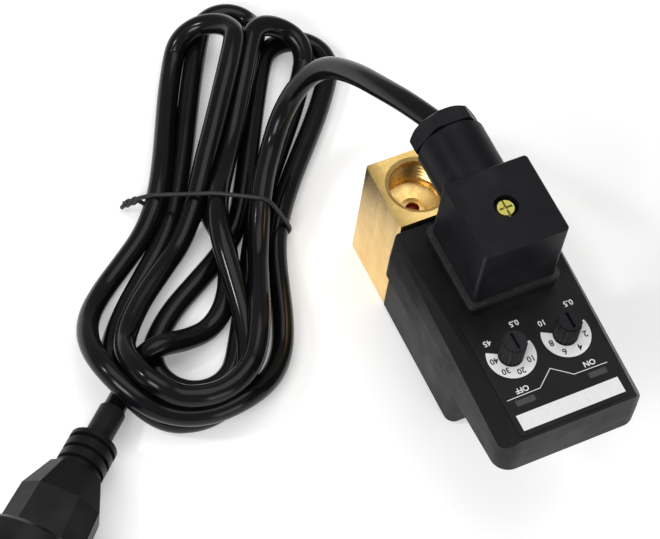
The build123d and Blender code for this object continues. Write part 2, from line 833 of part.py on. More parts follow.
def cord_hank():
    """Outer shape of the tied hank, pinched at the tie and fanned out at both ends."""
    plane = Plane.XY * Location((hank_middle[0], hank_middle[1], 0), (0, 0, hank_heading))
    line = Spline(*[(u, v) for u, v in hank_outline], periodic=True)
    solid = extrude(plane * make_face(line), hank_height)
    return solid


def plug_frame(distance, z):
    """A plane across the plug's axis, at a distance from the end of the cord."""
    heading = math.radians(plug_heading)
    start = tail_route[-1]
    origin = (start[0] + distance * math.cos(heading), start[1] + distance * math.sin(heading), z)
    return Plane(origin=origin, x_dir=(-math.sin(heading), math.cos(heading), 0),
                 z_dir=(math.cos(heading), math.sin(heading), 0))


def relief_plane():
    """The boot's own plane: X runs along its axis, from the end of the cord up to the plug's neck."""
    start = Vector(*tail_route[-1])
    end = plug_frame(relief_length, neck_z).origin
    heading = math.radians(plug_heading)
    return Plane(origin=start, x_dir=end - start, z_dir=(-math.sin(heading), math.cos(heading), 0))


def strain_relief():
    """Smooth sleeve and ribbed boot, turned about their own axis and cut off flat at the plug's neck."""
    plane = relief_plane()
    outline = [(0, 0), (0, sleeve_r), (sleeve_length, sleeve_r), (sleeve_length + relief_rib_bevel, relief_r)]
    for index in range(relief_ribs):
        groove = sleeve_length + relief_rib_width + relief_rib_pitch * index
        outline.append((groove, relief_r))
        outline.append((groove, relief_r - relief_groove_depth))
        outline.append((groove + relief_groove_width, relief_r - relief_groove_depth))
        outline.append((groove + relief_groove_width, relief_r))
    far = relief_length + relief_rib_pitch
    outline += [(far, relief_r), (far, 0)]
    boot = revolve(make_face(plane * Polyline(*outline, close=True)), Axis(plane.origin, plane.x_dir))
    return split(boot, bisect_by=plug_frame(relief_length, neck_z), keep=Keep.BOTTOM)


def bevelled_section(distance, width, height, bevel):
    """Cross-section of the grip: a rectangle with its corners cut off, standing just above the table."""
    w, h = width / 2, height / 2
    outline = Polyline(
        (-w, -h + bevel), (-w + bevel, -h), (w - bevel, -h), (w, -h + bevel),
        (w, h - bevel), (w - bevel, h), (-w + bevel, h), (-w, h - bevel), close=True)
    return plug_frame(distance, plug_lift + h) * make_face(Rot(0, 0, 0) * outline)


def plug_body():
    """Bevelled grip that widens from the boot to a round head."""
    root = bevelled_section(relief_length, plug_neck_width, 2 * (neck_z - plug_lift), plug_neck_bevel)
    shoulder = bevelled_section(relief_length + grip_shoulder, grip_width * 0.93, grip_height * 0.95, grip_bevel)
    end = bevelled_section(relief_length + grip_length, grip_width, grip_height, grip_bevel)
    solid = loft([root, shoulder], ruled=True) + loft([shoulder, end], ruled=True)
    head = extrude(plug_frame(relief_length + grip_length, head_z) * Circle(plug_head_r), plug_head_length)
    solid += chamfer(head.edges(), plug_head_bevel)
    for pin in pin_shapes():
        solid -= pin
    return solid


def pin_shapes():
    start = relief_length + grip_length + plug_head_length - pin_root
    pins = []
    for side in (-1, 1):
        plane = plug_frame(start, head_z) * Pos(side * pin_spacing / 2, 0)
        pin = extrude(plane * Circle(pin_r), pin_root + pin_length)
        pins.append(pin)
    return pins


def plug_pins():
    return Compound(pin_shapes())


def twist_tie():
    """Wire tie round the waist of the hank."""
    heading = math.radians(hank_heading)
    plane = Plane(origin=(hank_middle[0], hank_middle[1], hank_height / 2),
                  x_dir=(-math.sin(heading), math.cos(heading), 0),
                  z_dir=(math.cos(heading), math.sin(heading), 0))
    thick = 2 * tie_wire_r
    outer = plane * RectangleRounded(tie_width, hank_height, tie_corner_r)
    inner = plane * RectangleRounded(tie_width - thick, hank_height - thick, tie_corner_r - tie_wire_r)
    return extrude(outer - inner, tie_wire_r, both=True)


# ---------------------------------------------------------------- export
def all_parts():
    tie = twist_tie()
    lead = cord_tube("cord_lead", lead_route)
    hank = cord_hank()
    return {
        "valve_body": valve_body(),
        "port_o_ring": port_o_ring(),
        "guide_tube": guide_tube(),
        "fixed_core": fixed_core(),
        "shading_ring": shading_ring(),
        "plunger": plunger(),
        "plunger_seal": plunger_seal(),
        "plunger_spring": plunger_spring(),
        "coil_body": coil_body(),
        "coil_yoke": coil_yoke(),
        "coil_winding": coil_winding(),
        "coil_terminals": coil_terminals(),
        "coil_washer": coil_washer(),
        "coil_nut": coil_nut(),
        "coil_gasket": coil_gasket(),
        "timer_base": timer_base(),
        "timer_lid": timer_lid(),
        "case_screws": case_screws(),
        "panel_film": panel_film(),
        "circuit_board": circuit_board(),
        "board_parts": board_parts(),
        "coil_sockets": coil_sockets(),
        "timer_terminals": timer_terminals(),
        "minutes_potentiometer": potentiometer(knob_x, -knob_spread),
        "seconds_potentiometer": potentiometer(knob_x, knob_spread),
        "minutes_knob": control_knob(knob_x, -knob_spread),
        "seconds_knob": control_knob(knob_x, knob_spread),
        "test_switch": test_switch(),
        "test_button": test_button(),
        "status_lights": status_lights(),
        "connector_gasket": connector_gasket(),
        "connector_housing": connector_housing(),
        "connector_block": connector_block(),
        "connector_contacts": connector_contacts(),
        "connector_screw": connector_screw(),
        "gland_grommet": gland_grommet(),
        "gland_washer": gland_washer(),
        "gland_nut": gland_nut(),
        "cord_lead": lead,
        "cord_hank": hank - tie,
        "cord_tail": cord_tube("cord_tail", tail_route),
        "twist_tie": tie,
        "strain_relief": strain_relief(),
        "plug_body": plug_body(),
        "plug_pins": plug_pins(),
    }


os.makedirs("parts", exist_ok=True)
for node, shape in all_parts().items():
    export_step(shape, "parts/" + node + ".step")
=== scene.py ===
import json
import math

import bmesh
import bpy
import numpy as np
from mathutils import Matrix, Vector


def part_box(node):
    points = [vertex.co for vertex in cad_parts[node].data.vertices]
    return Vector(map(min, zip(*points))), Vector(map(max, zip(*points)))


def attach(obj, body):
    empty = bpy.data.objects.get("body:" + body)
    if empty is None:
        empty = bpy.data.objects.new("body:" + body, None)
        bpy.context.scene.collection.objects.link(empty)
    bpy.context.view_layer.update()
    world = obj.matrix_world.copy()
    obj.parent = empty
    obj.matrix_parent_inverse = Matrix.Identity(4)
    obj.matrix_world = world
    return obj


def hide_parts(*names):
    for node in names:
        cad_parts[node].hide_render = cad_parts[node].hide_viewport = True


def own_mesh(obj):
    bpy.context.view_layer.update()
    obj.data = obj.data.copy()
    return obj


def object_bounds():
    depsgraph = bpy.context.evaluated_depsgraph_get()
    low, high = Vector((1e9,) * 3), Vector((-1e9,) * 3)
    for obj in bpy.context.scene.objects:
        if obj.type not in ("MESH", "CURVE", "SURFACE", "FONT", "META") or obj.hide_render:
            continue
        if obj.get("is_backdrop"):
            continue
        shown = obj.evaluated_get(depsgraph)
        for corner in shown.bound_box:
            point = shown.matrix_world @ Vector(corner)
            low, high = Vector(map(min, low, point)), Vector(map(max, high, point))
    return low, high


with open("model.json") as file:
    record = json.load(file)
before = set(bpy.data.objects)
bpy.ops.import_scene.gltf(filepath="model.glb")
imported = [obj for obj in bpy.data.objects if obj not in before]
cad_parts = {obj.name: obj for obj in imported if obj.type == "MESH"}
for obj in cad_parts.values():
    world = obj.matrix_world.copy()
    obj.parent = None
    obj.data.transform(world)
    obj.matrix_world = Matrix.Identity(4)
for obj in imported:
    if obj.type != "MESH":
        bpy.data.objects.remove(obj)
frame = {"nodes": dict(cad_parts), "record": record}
cad_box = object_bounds()

MM = 0.001
CORD_R = 0.0037

# The camera looks down from high above the object, in front of it (-Y) and to its right (+X).
CAMERA_LENS = 126.35
CAMERA_PLACE = (0.3287, -0.2451, 0.6663)
CAMERA_RIGHT = (0.42321, 0.90184, 0.08710)
CAMERA_BACK = (0.43039, -0.28470, 0.85657)

# Lamps: name, place, size and power. All of them are aimed at STAGE_MIDDLE.
STAGE_MIDDLE = (0.0, -0.03, 0.03)
LAMPS = [
    ("key_light", (0.45, -0.75, 0.75), 0.42, 5.2),
    ("top_light", (-0.15, 0.15, 1.15), 0.9, 4.6),
    ("front_light", (0.95, 0.15, 0.35), 0.5, 2.1),
    ("spark_light", (-0.25, -0.85, 0.9), 0.12, 2.8),
]
WORLD_LIGHT = 0.34
FLOOR_HALF_SIDE = 3.0
FLOOR_Z = -0.0005
FLOOR_WHITE = 0.93
FLOOR_GLOW = 0.22


# ------------------------------------------------------------------ camera, light and floor
def set_camera():
    """Close view from above and in front, at the angle and distance of the photograph."""
    data = bpy.data.cameras.new("view_camera")
    camera = bpy.data.objects.new("view_camera", data)
    bpy.context.collection.objects.link(camera)
    data.sensor_width = 36.0
    data.lens = CAMERA_LENS
    data.clip_start = 0.05
    data.clip_end = 10.0
    right = Vector(CAMERA_RIGHT).normalized()
    back = Vector(CAMERA_BACK).normalized()
    up = back.cross(right).normalized()
    rows = [(right[k], up[k], back[k], CAMERA_PLACE[k]) for k in range(3)]
    camera.matrix_world = Matrix((*rows, (0.0, 0.0, 0.0, 1.0)))
    bpy.context.scene.camera = camera


def look_at(obj, target):
    """Turns a lamp towards a place."""
    direction = Vector(target) - obj.location
    obj.rotation_euler = direction.to_track_quat("-Z", "Y").to_euler()


def set_lights():
    """Square soft lamps round the object."""
    for name, place, size, power in LAMPS:
        data = bpy.data.lights.new(name, "AREA")
        data.shape = "SQUARE"
        data.size = size
        data.energy = power
        lamp = bpy.data.objects.new(name, data)
        bpy.context.collection.objects.link(lamp)
        lamp.location = place
        look_at(lamp, STAGE_MIDDLE)


def nodes_of(owner):
    """The node tree of a material or world, emptied."""
    owner.use_nodes = True
    tree = owner.node_tree
    tree.nodes.clear()
    return tree


def set_world():
    """Even white surroundings, that the camera sees as pure white."""
    world = bpy.data.worlds.new("plain_world")
    bpy.context.scene.world = world
    tree = nodes_of(world)
    out = tree.nodes.new("ShaderNodeOutputWorld")
    soft = tree.nodes.new("ShaderNodeBackground")
    soft.inputs["Color"].default_value = (1.0, 1.0, 1.0, 1.0)
    soft.inputs["Strength"].default_value = WORLD_LIGHT
    white = tree.nodes.new("ShaderNodeBackground")
    white.inputs["Color"].default_value = (1.0, 1.0, 1.0, 1.0)
    white.inputs["Strength"].default_value = 1.0
    path = tree.nodes.new("ShaderNodeLightPath")
    mix = tree.nodes.new("ShaderNodeMixShader")
    tree.links.new(path.outputs["Is Camera Ray"], mix.inputs["Fac"])
    tree.links.new(soft.outputs["Background"], mix.inputs[1])
    tree.links.new(white.outputs["Background"], mix.inputs[2])
    tree.links.new(mix.outputs["Shader"], out.inputs["Surface"])


def add_floor():
    """White table: shows its shadow, and reads as white where nothing shades it."""
    mesh = bpy.data.meshes.new("table_top")
    size = FLOOR_HALF_SIDE
    corners = [(-size, -size, 0), (size, -size, 0), (size, size, 0), (-size, size, 0)]
    mesh.from_pydata(corners, [], [(0, 1, 2, 3)])
    floor = bpy.data.objects.new("table_top", mesh)
    bpy.context.collection.objects.link(floor)
    floor.location.z = FLOOR_Z
    material = bpy.data.materials.new("table_white")
    tree = nodes_of(material)
    out = tree.nodes.new("ShaderNodeOutputMaterial")
    diffuse = tree.nodes.new("ShaderNodeBsdfDiffuse")
    diffuse.inputs["Color"].default_value = (FLOOR_WHITE, FLOOR_WHITE, FLOOR_WHITE, 1.0)
    glow = tree.nodes.new("ShaderNodeEmission")
    glow.inputs["Strength"].default_value = FLOOR_GLOW
    add = tree.nodes.new("ShaderNodeAddShader")
    path = tree.nodes.new("ShaderNodeLightPath")
    gate = tree.nodes.new("ShaderNodeMixShader")
    seen = tree.nodes.new("ShaderNodeMath")
    seen.operation = "MAXIMUM"
    tree.links.new(path.outputs["Is Camera Ray"], seen.inputs[0])
    tree.links.new(path.outputs["Is Glossy Ray"], seen.inputs[1])
    tree.links.new(diffuse.outputs["BSDF"], add.inputs[0])
    tree.links.new(glow.outputs["Emission"], add.inputs[1])
    tree.links.new(seen.outputs["Value"], gate.inputs["Fac"])
    tree.links.new(diffuse.outputs["BSDF"], gate.inputs[1])
    tree.links.new(add.outputs["Shader"], gate.inputs[2])
    tree.links.new(gate.outputs["Shader"], out.inputs["Surface"])
    mesh.materials.append(material)
    floor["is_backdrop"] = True


# ------------------------------------------------------------------ materials
class Surface:
    """A Principled material with helpers for noise, colour ramps and bumps."""

    def __init__(self, name, colour, roughness, metallic=0.0, specular=0.5):
        self.material = bpy.data.materials.new(name)
        self.tree = nodes_of(self.material)
        self.out = self.new("ShaderNodeOutputMaterial")
        self.shader = self.new("ShaderNodeBsdfPrincipled")
        self.link(self.shader, "BSDF", self.out, "Surface")
        self.shader.inputs["Base Color"].default_value = (*colour, 1.0)
        self.shader.inputs["Roughness"].default_value = roughness
        self.shader.inputs["Metallic"].default_value = metallic
        self.shader.inputs["Specular IOR Level"].default_value = specular
        self.place = self.new("ShaderNodeTexCoord")
        self.bump = None

    def new(self, kind):
        return self.tree.nodes.new(kind)

    def link(self, a, out, b, into):
        self.tree.links.new(a.outputs[out], b.inputs[into])

    def stretched(self, scale):
        mapping = self.new("ShaderNodeMapping")
        mapping.inputs["Scale"].default_value = scale
        self.link(self.place, "Object", mapping, "Vector")
        return mapping

    def noise(self, scale, detail, rough, stretch=(1.0, 1.0, 1.0)):
        noise = self.new("ShaderNodeTexNoise")
        noise.inputs["Scale"].default_value = scale
        noise.inputs["Detail"].default_value = detail
        noise.inputs["Roughness"].default_value = rough
        self.link(self.stretched(stretch), "Vector", noise, "Vector")
        return noise

    def ramp(self, source, stops):
        ramp = self.new("ShaderNodeValToRGB")
        elements = ramp.color_ramp.elements
        while len(elements) < len(stops):
            elements.new(0.5)
        for element, (position, colour) in zip(elements, stops):
            element.position = position
            element.color = (*colour, 1.0)
        self.link(source, "Fac", ramp, "Fac")
        return ramp

    def colour_by(self, source, stops):
        self.link(self.ramp(source, stops), "Color", self.shader, "Base Color")

    def roughness_by(self, source, low, high):
        spread = self.new("ShaderNodeMapRange")
        spread.inputs["From Min"].default_value = 0.3
        spread.inputs["From Max"].default_value = 0.7
        spread.inputs["To Min"].default_value = low
        spread.inputs["To Max"].default_value = high
        self.link(source, "Fac", spread, "Value")
        self.link(spread, "Result", self.shader, "Roughness")

    def bump_by(self, source, strength, distance):
        bump = self.new("ShaderNodeBump")
        bump.inputs["Strength"].default_value = strength
        bump.inputs["Distance"].default_value = distance
        self.link(source, "Fac", bump, "Height")
        if self.bump is not None:
            self.link(self.bump, "Normal", bump, "Normal")
        self.link(bump, "Normal", self.shader, "Normal")
        self.bump = bump


def moulded_plastic(name, colour, roughness, grain=2600.0, depth=0.00004, specular=0.11):
    """Moulded plastic: spark-eroded grain, faint flow marks and handling smears."""
    s = Surface(name, colour, roughness, specular=specular)
    broad = s.noise(35.0, 3.0, 0.6)
    lighter = tuple(min(1.0, c * 1.5 + 0.004) for c in colour)
    darker = tuple(c * 0.75 for c in colour)
    s.colour_by(broad, [(0.35, darker), (0.5, colour), (0.68, lighter)])
    smear = s.noise(120.0, 5.0, 0.7, stretch=(1.0, 0.5, 1.0))
    s.roughness_by(smear, roughness - 0.07, roughness + 0.1)
    fine = s.noise(grain, 2.0, 0.5)
    s.bump_by(fine, 0.35, depth)
    return s.material


def brass_material():
    """Sawn and machined brass bar: fine parallel tool marks, slight tarnish."""
    s = Surface("machined_brass", (0.80, 0.55, 0.20), 0.3, metallic=1.0)
    tarnish = s.noise(60.0, 5.0, 0.65)
    s.colour_by(tarnish, [(0.3, (0.74, 0.47, 0.14)), (0.5, (0.84, 0.58, 0.21)),
                          (0.72, (0.92, 0.69, 0.30))])
    marks = s.noise(420.0, 3.0, 0.6, stretch=(1.0, 1.0, 0.12))
    s.roughness_by(marks, 0.24, 0.36)
    s.bump_by(marks, 0.10, 0.00004)
    dents = s.noise(300.0, 2.0, 0.5)
    s.bump_by(dents, 0.08, 0.00005)
    return s.material


def steel_material(name, colour, roughness, stretch=(1.0, 1.0, 1.0)):
    """Bare or plated metal, with tool marks drawn out along the part."""
    s = Surface(name, colour, roughness, metallic=1.0)
    marks = s.noise(600.0, 4.0, 0.6, stretch=stretch)
    s.roughness_by(marks, roughness - 0.08, roughness + 0.12)
    cloud = s.noise(90.0, 4.0, 0.6)
    darker = tuple(c * 0.85 for c in colour)
    lighter = tuple(min(1.0, c * 1.1) for c in colour)
    s.colour_by(cloud, [(0.3, darker), (0.7, lighter)])
    s.bump_by(marks, 0.12, 0.00003)
    return s.material


def yellow_zinc_material():
    """Yellow passivated zinc plate, whose film shades between gold and green."""
    s = Surface("yellow_zinc", (0.42, 0.38, 0.09), 0.4, metallic=1.0)
    film = s.noise(500.0, 3.0, 0.6)
    s.colour_by(film, [(0.3, (0.34, 0.34, 0.09)), (0.5, (0.46, 0.40, 0.10)), (0.7, (0.40, 0.46, 0.16))])
    s.roughness_by(film, 0.25, 0.42)
    s.bump_by(film, 0.1, 0.00003)
    return s.material


def rubber_material(name, colour, roughness=0.62):
    """Matt rubber with a little dust on it."""
    s = Surface(name, colour, roughness, specular=0.35)
    dust = s.noise(900.0, 4.0, 0.7)
    s.colour_by(dust, [(0.4, colour), (0.75, tuple(c * 1.6 + 0.006 for c in colour))])
    s.roughness_by(dust, roughness - 0.08, roughness + 0.12)
    s.bump_by(dust, 0.2, 0.00004)
    return s.material


def cord_material():
    """Smooth extruded PVC with a soft shine, long faint draw lines and a little dust."""
    s = Surface("cord_pvc", (0.007, 0.007, 0.008), 0.24, specular=0.22)
    broad = s.noise(45.0, 3.0, 0.6)
    s.colour_by(broad, [(0.35, (0.003, 0.003, 0.004)), (0.7, (0.006, 0.006, 0.007))])
    smear = s.noise(160.0, 5.0, 0.7)
    s.roughness_by(smear, 0.12, 0.22)
    ripple = s.noise(260.0, 2.0, 0.5)
    s.bump_by(ripple, 0.12, 0.0001)
    return s.material


def print_material(name, colour, roughness=0.5):
    """Screen-printed ink, slightly worn."""
    s = Surface(name, colour, roughness, specular=0.4)
    wear = s.noise(700.0, 4.0, 0.7)
    s.colour_by(wear, [(0.3, tuple(c * 0.93 for c in colour)), (0.6, colour)])
    s.roughness_by(wear, roughness - 0.06, roughness + 0.08)
    return s.material


def film_material():
    """Black polyester overlay: satin, very finely grained."""
    s = Surface("panel_film", (0.007, 0.007, 0.008), 0.42, specular=0.14)
    cloud = s.noise(70.0, 4.0, 0.6)
    s.colour_by(cloud, [(0.35, (0.006, 0.006, 0.007)), (0.7, (0.010, 0.010, 0.011))])
    grain = s.noise(3000.0, 2.0, 0.5)
    s.roughness_by(s.noise(140.0, 4.0, 0.6), 0.35, 0.5)
    s.bump_by(grain, 0.3, 0.00003)
    return s.material


def lens_material():
    """Unlit smoky lens of a lamp."""
    s = Surface("light_lens", (0.22, 0.23, 0.22), 0.25, specular=0.5)
    cloud = s.noise(800.0, 2.0, 0.5)
    s.colour_by(cloud, [(0.3, (0.16, 0.17, 0.16)), (0.7, (0.28, 0.29, 0.28))])
    s.roughness_by(cloud, 0.18, 0.32)
    return s.material


def board_material():
    """Green glass-fibre laminate."""
    s = Surface("board_laminate", (0.02, 0.16, 0.06), 0.4)
    weave = s.noise(1500.0, 2.0, 0.5)
    s.colour_by(weave, [(0.4, (0.018, 0.14, 0.05)), (0.6, (0.03, 0.20, 0.08))])
    s.roughness_by(weave, 0.32, 0.5)
    s.bump_by(weave, 0.2, 0.00003)
    return s.material


MATERIALS = {
    "brass": brass_material(),
    "seal_rubber": rubber_material("nitrile_rubber", (0.018, 0.018, 0.018)),
    "tube_steel": steel_material("drawn_tube", (0.60, 0.60, 0.58), 0.3, (0.1, 1.0, 1.0)),
    "core_steel": steel_material("turned_steel", (0.55, 0.55, 0.54), 0.28, (1.0, 0.2, 0.2)),
    "copper": steel_material("enamelled_copper", (0.62, 0.28, 0.12), 0.35, (1.0, 0.1, 0.1)),
    "red_seal": rubber_material("red_seal_rubber", (0.30, 0.025, 0.015)),
    "spring_steel": steel_material("spring_wire", (0.58, 0.58, 0.58), 0.25),
    "coil_resin": moulded_plastic("coil_resin", (0.034, 0.034, 0.035), 0.55, 1400.0, 0.00008),
    "yoke_steel": steel_material("pressed_steel", (0.42, 0.42, 0.42), 0.4),
    "tinned_brass": steel_material("tinned_strip", (0.66, 0.63, 0.55), 0.3),
    "zinc_steel": steel_material("zinc_plate", (0.62, 0.63, 0.65), 0.32),
    "case_plastic": moulded_plastic("case_plastic", (0.008, 0.008, 0.009), 0.42),
    "panel_print": film_material(),
    "board_laminate": board_material(),
    "component_plastic": moulded_plastic("component_cases", (0.03, 0.04, 0.08), 0.45),
    "knob_plastic": moulded_plastic("knob_nylon", (0.009, 0.009, 0.011), 0.36, 1800.0, 0.00003),
    "light_lens": lens_material(),
    "gasket_rubber": rubber_material("gasket_rubber", (0.014, 0.014, 0.015), 0.5),
    "connector_plastic": moulded_plastic("connector_nylon", (0.007, 0.007, 0.009), 0.38, 2200.0, 0.00004),
    "block_plastic": moulded_plastic("block_nylon", (0.02, 0.02, 0.02), 0.5),
    "yellow_zinc": yellow_zinc_material(),
    "cord_jacket": cord_material(),
    "tie_plastic": rubber_material("tie_plastic", (0.016, 0.016, 0.016), 0.45),
    "plug_plastic": moulded_plastic("plug_pvc", (0.009, 0.009, 0.010), 0.34, 900.0, 0.00006),
    "pin_brass": steel_material("nickel_plate", (0.72, 0.70, 0.66), 0.18, (0.2, 0.2, 1.0)),
}
WHITE_INK = print_material("white_ink", (0.74, 0.74, 0.74))
BLACK_INK = print_material("black_ink", (0.012, 0.012, 0.012))
SMOKED = print_material("smoked_window", (0.020, 0.020, 0.022), 0.3)


def finish_cad_nodes():
    """Gives every carried-over node the material of its slot."""
    slots = {row["node"]: row["material_slot"] for row in frame["record"]["subparts"]}
    for name, obj in frame["nodes"].items():
        material = MATERIALS[slots[name]]
        if not obj.material_slots:
            obj.data.materials.append(material)
        for slot in obj.material_slots:
            slot.material = material


# ------------------------------------------------------------------ helpers for pieces
def mesh_piece(name, bm, material, body, smooth=False):
    """Makes a mesh into a piece of its own that rides on a body."""
    mesh = bpy.data.meshes.new(name)
    bm.normal_update()
    bm.to_mesh(mesh)
    bm.free()
    if smooth:
        mesh.shade_smooth()
    mesh.materials.append(material)
    obj = bpy.data.objects.new(name, mesh)
    bpy.context.collection.objects.link(obj)
    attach(obj, body)


def flat_shape(bm, outline, z, thickness):
    """A thin printed shape from an outline in plan."""
    low = [bm.verts.new((x, y, z)) for x, y in outline]
    high = [bm.verts.new((x, y, z + thickness)) for x, y in outline]
    bm.faces.new(high)
    bm.faces.new(list(reversed(low)))
    for i in range(len(outline)):
        j = (i + 1) % len(outline)
        bm.faces.new((low[i], low[j], high[j], high[i]))


# ------------------------------------------------------------------ mains lead
# The same points as the CAD routes, in metres: from the gland down to the tied hank,
# and from under the hank to the plug's boot.
LEAD_ROUTE = [
    (0.0052, 0.0, 0.088), (-0.0075, -0.0032, 0.084), (-0.021, -0.0056, 0.0762),
    (-0.036, -0.0072, 0.066), (-0.0505, -0.0095, 0.0525), (-0.0555, -0.015, 0.0395),
    (-0.0535, -0.022, 0.0275), (-0.046, -0.029, 0.0195),
]
TAIL_ROUTE = [(0.0075, -0.101, 0.0042), (0.0132, -0.1069, 0.0043), (0.018, -0.1124, 0.0052)]
HANK_MIDDLE = Vector((-0.038, -0.053, 0.0))
HANK_HEADING = math.radians(147.0)

# The hank's bights in the order of the cord, in millimetres. Each has its level in the pile, the
# side it starts on and the side it ends on (across the hank, at its widest), how far along the
# hank its bend may start, and how far its tip reaches. The plug's side of the tie is negative.
BIGHTS = [
    ("front", 6, -23.0, 20.0, -46.0, -76.0),
    ("near top", 5, 3.2, 24.0, 48.0, 72.0),
    ("outer", 3, 33.3, -31.0, -48.0, -80.0),
    ("far top", 1, -30.5, -6.5, 50.0, 78.0),
    ("inner", 0, 11.0, -16.5, -42.0, -67.0),
    ("right top", 4, -21.5, -2.0, 52.0, 76.0),
    ("second", 2, -21.0, 24.3, -45.0, -79.0),
    ("back top", 1, 17.0, -3.0, 55.0, 85.0),
]
# Where the cord passes the tie before each bight, and after the last one.
PASSES = [-16.0, 6.0, 19.0, -22.0, -9.0, -15.0, -1.0, 13.0, 2.0]
# The last stretch, from the tie to the tail.
LAST_PASS = [(-12, -6), (-23, -9.5), (-34, -10), (-43, -6.5), (-50, 0.5), (-55, 7.5), (-59.5, 13)]
LAST_LEVEL = 1
TAIL_LEVEL = 0
# Where the lead comes down on the hank: along and across it, its level, and its height in metres.
ENTRY_PLACE = (5.0, -15.0)
ENTRY_LEVEL = 7
ENTRY_Z = 0.018
LEG_STEPS = 4               # control points along a leg and round a tip
TIP_STEPS = 9
SPAN_STEPS = 6              # places between two control points while the heights settle
SETTLING_ROUNDS = 3
TOUCH = 2 * CORD_R * 0.96   # how far apart the middles of crossing passes lie
STEEPEST = 0.5              # how steeply the cord climbs over another pass


def hank_point(u, v, z=0.0):
    """A place from its distance along and across the hank, in millimetres."""
    c, s = math.cos(HANK_HEADING), math.sin(HANK_HEADING)
    return Vector((HANK_MIDDLE.x + (u * c - v * s) * MM, HANK_MIDDLE.y + (u * s + v * c) * MM, z))


def ease(t):
    """Smooth step from 0 to 1."""
    return t * t * (3 - 2 * t)


def hank_plan():
    """Plan of the cord through the hank, with each place's level in the pile."""
    plan = [(*ENTRY_PLACE, ENTRY_LEVEL)]
    for index, (_, level, side_in, side_out, first_u, tip_u) in enumerate(BIGHTS):
        middle = (side_in + side_out) / 2
        half = (side_in - side_out) / 2
        bend = math.copysign(min(abs(half), abs(tip_u - first_u)), tip_u)
        bend_u = tip_u - bend
        for step in range(1, LEG_STEPS):
            t = step / LEG_STEPS
            plan.append((bend_u * t, PASSES[index] + (side_in - PASSES[index]) * ease(t), level))
        for step in range(TIP_STEPS):
            angle = math.pi * step / (TIP_STEPS - 1)
            plan.append((bend_u + bend * math.sin(angle), middle + half * math.cos(angle), level))
        for step in range(LEG_STEPS - 1, 0, -1):
            t = step / LEG_STEPS
            plan.append((bend_u * t, PASSES[index + 1] + (side_out - PASSES[index + 1]) * ease(t), level))
        after = BIGHTS[index + 1][1] if index + 1 < len(BIGHTS) else LAST_LEVEL
        plan.append((0.0, PASSES[index + 1], (level + after) / 2))
    plan += [(u, v, LAST_LEVEL) for u, v in LAST_PASS]
    return plan


def smooth_line(points, per_span):
    """Points along the quadratic B-spline that the control points give."""
    pts = np.array(points, float)
    mids = (pts[:-1] + pts[1:]) / 2
    line = [pts[0]]
    for i in range(1, len(pts) - 1):
        a = pts[0] if i == 1 else mids[i - 1]
        b = pts[-1] if i == len(pts) - 2 else mids[i]
        for step in range(1, per_span + 1):
            t = step / per_span
            line.append((1 - t) ** 2 * a + 2 * t * (1 - t) * pts[i] + t * t * b)
    return np.array(line)


def pile_up(plan):
    """Heights through the hank: each level lies on the table or on the levels laid before it."""
    route = [tuple(hank_point(u, v)) for u, v, _ in plan] + [tuple(p) for p in TAIL_ROUTE]
    flat = smooth_line(route, SPAN_STEPS)[:, :2]
    levels = [row[2] for row in plan[1:]] + [TAIL_LEVEL] * (len(TAIL_ROUTE) - 1)
    level = np.concatenate([[plan[0][2]], np.repeat(np.array(levels, float), SPAN_STEPS)])
    arc = np.concatenate([[0], np.cumsum(np.linalg.norm(np.diff(flat, axis=0), axis=1))])
    places = np.arange(len(flat))
    z = np.full(len(flat), CORD_R)
    z[0] = ENTRY_Z
    for _ in range(SETTLING_ROUNDS):
        for here in sorted(set(level)):
            for i in np.flatnonzero(level == here):
                laid = (level < here) | ((level == here) & (places < i))
                below = laid & (np.abs(arc - arc[i]) > 2 * TOUCH)
                gap = np.linalg.norm(flat[below] - flat[i], axis=1)
                near = gap < TOUCH
                if near.any():
                    lift = np.sqrt(TOUCH ** 2 - gap[near] ** 2)
                    z[i] = max(z[i], float((z[below][near] + lift).max()))
            for i in range(1, len(z)):
                z[i] = max(z[i], z[i - 1] - STEEPEST * (arc[i] - arc[i - 1]))
            for i in range(len(z) - 2, -1, -1):
                z[i] = max(z[i], z[i + 1] - STEEPEST * (arc[i + 1] - arc[i]))
    middles = [max(0, (i - 1) * SPAN_STEPS + SPAN_STEPS // 2 + 1) for i in range(len(plan))]
    return [float(z[i]) for i in middles]


def cord_points():
    """Control points of the whole lead, from the gland to the plug's boot."""
    plan = hank_plan()
    heights = pile_up(plan)
    points = [Vector(p) for p in LEAD_ROUTE]
    points += [hank_point(u, v, z) for (u, v, _), z in zip(plan, heights)]
    points += [Vector(p) for p in TAIL_ROUTE]
    return points


def nurbs(name, points, radius, resolution, roundness):
    """A round cord or wire as one open curve through its control points."""
    data = bpy.data.curves.new(name, "CURVE")
    data.dimensions = "3D"
    data.resolution_u = resolution
    data.bevel_depth = radius
    data.bevel_resolution = roundness
    data.use_fill_caps = True
    spline = data.splines.new("NURBS")
    spline.points.add(len(points) - 1)
    for point, place in zip(spline.points, points):
        point.co = (*place, 1.0)
    spline.order_u = 3
    spline.use_endpoint_u = True
    return bpy.data.objects.new(name, data)


# The wire tie, in metres. It goes round the passes of the cord at the hank's middle that lie
# within WAIST_HALF_WIDTH of its centre line and below WAIST_TOP.
TIE_WIRE_R = 0.75 * MM
TIE_GAP = 1.5 * MM          # from the loop to where the ends begin to twist
TIE_TAIL = 5.5 * MM
TIE_END_Z = 2.2 * TIE_WIRE_R
TIE_TWISTS = 1.3
TWIST_R = 1.05 * TIE_WIRE_R
TIE_REACH = CORD_R + 0.8 * TIE_WIRE_R
RIM_STEPS = 24
LOOP_STEPS = 44
TWIST_STEPS = 30
WAIST_HALF_WIDTH = 35 * MM
WAIST_TOP = 30 * MM


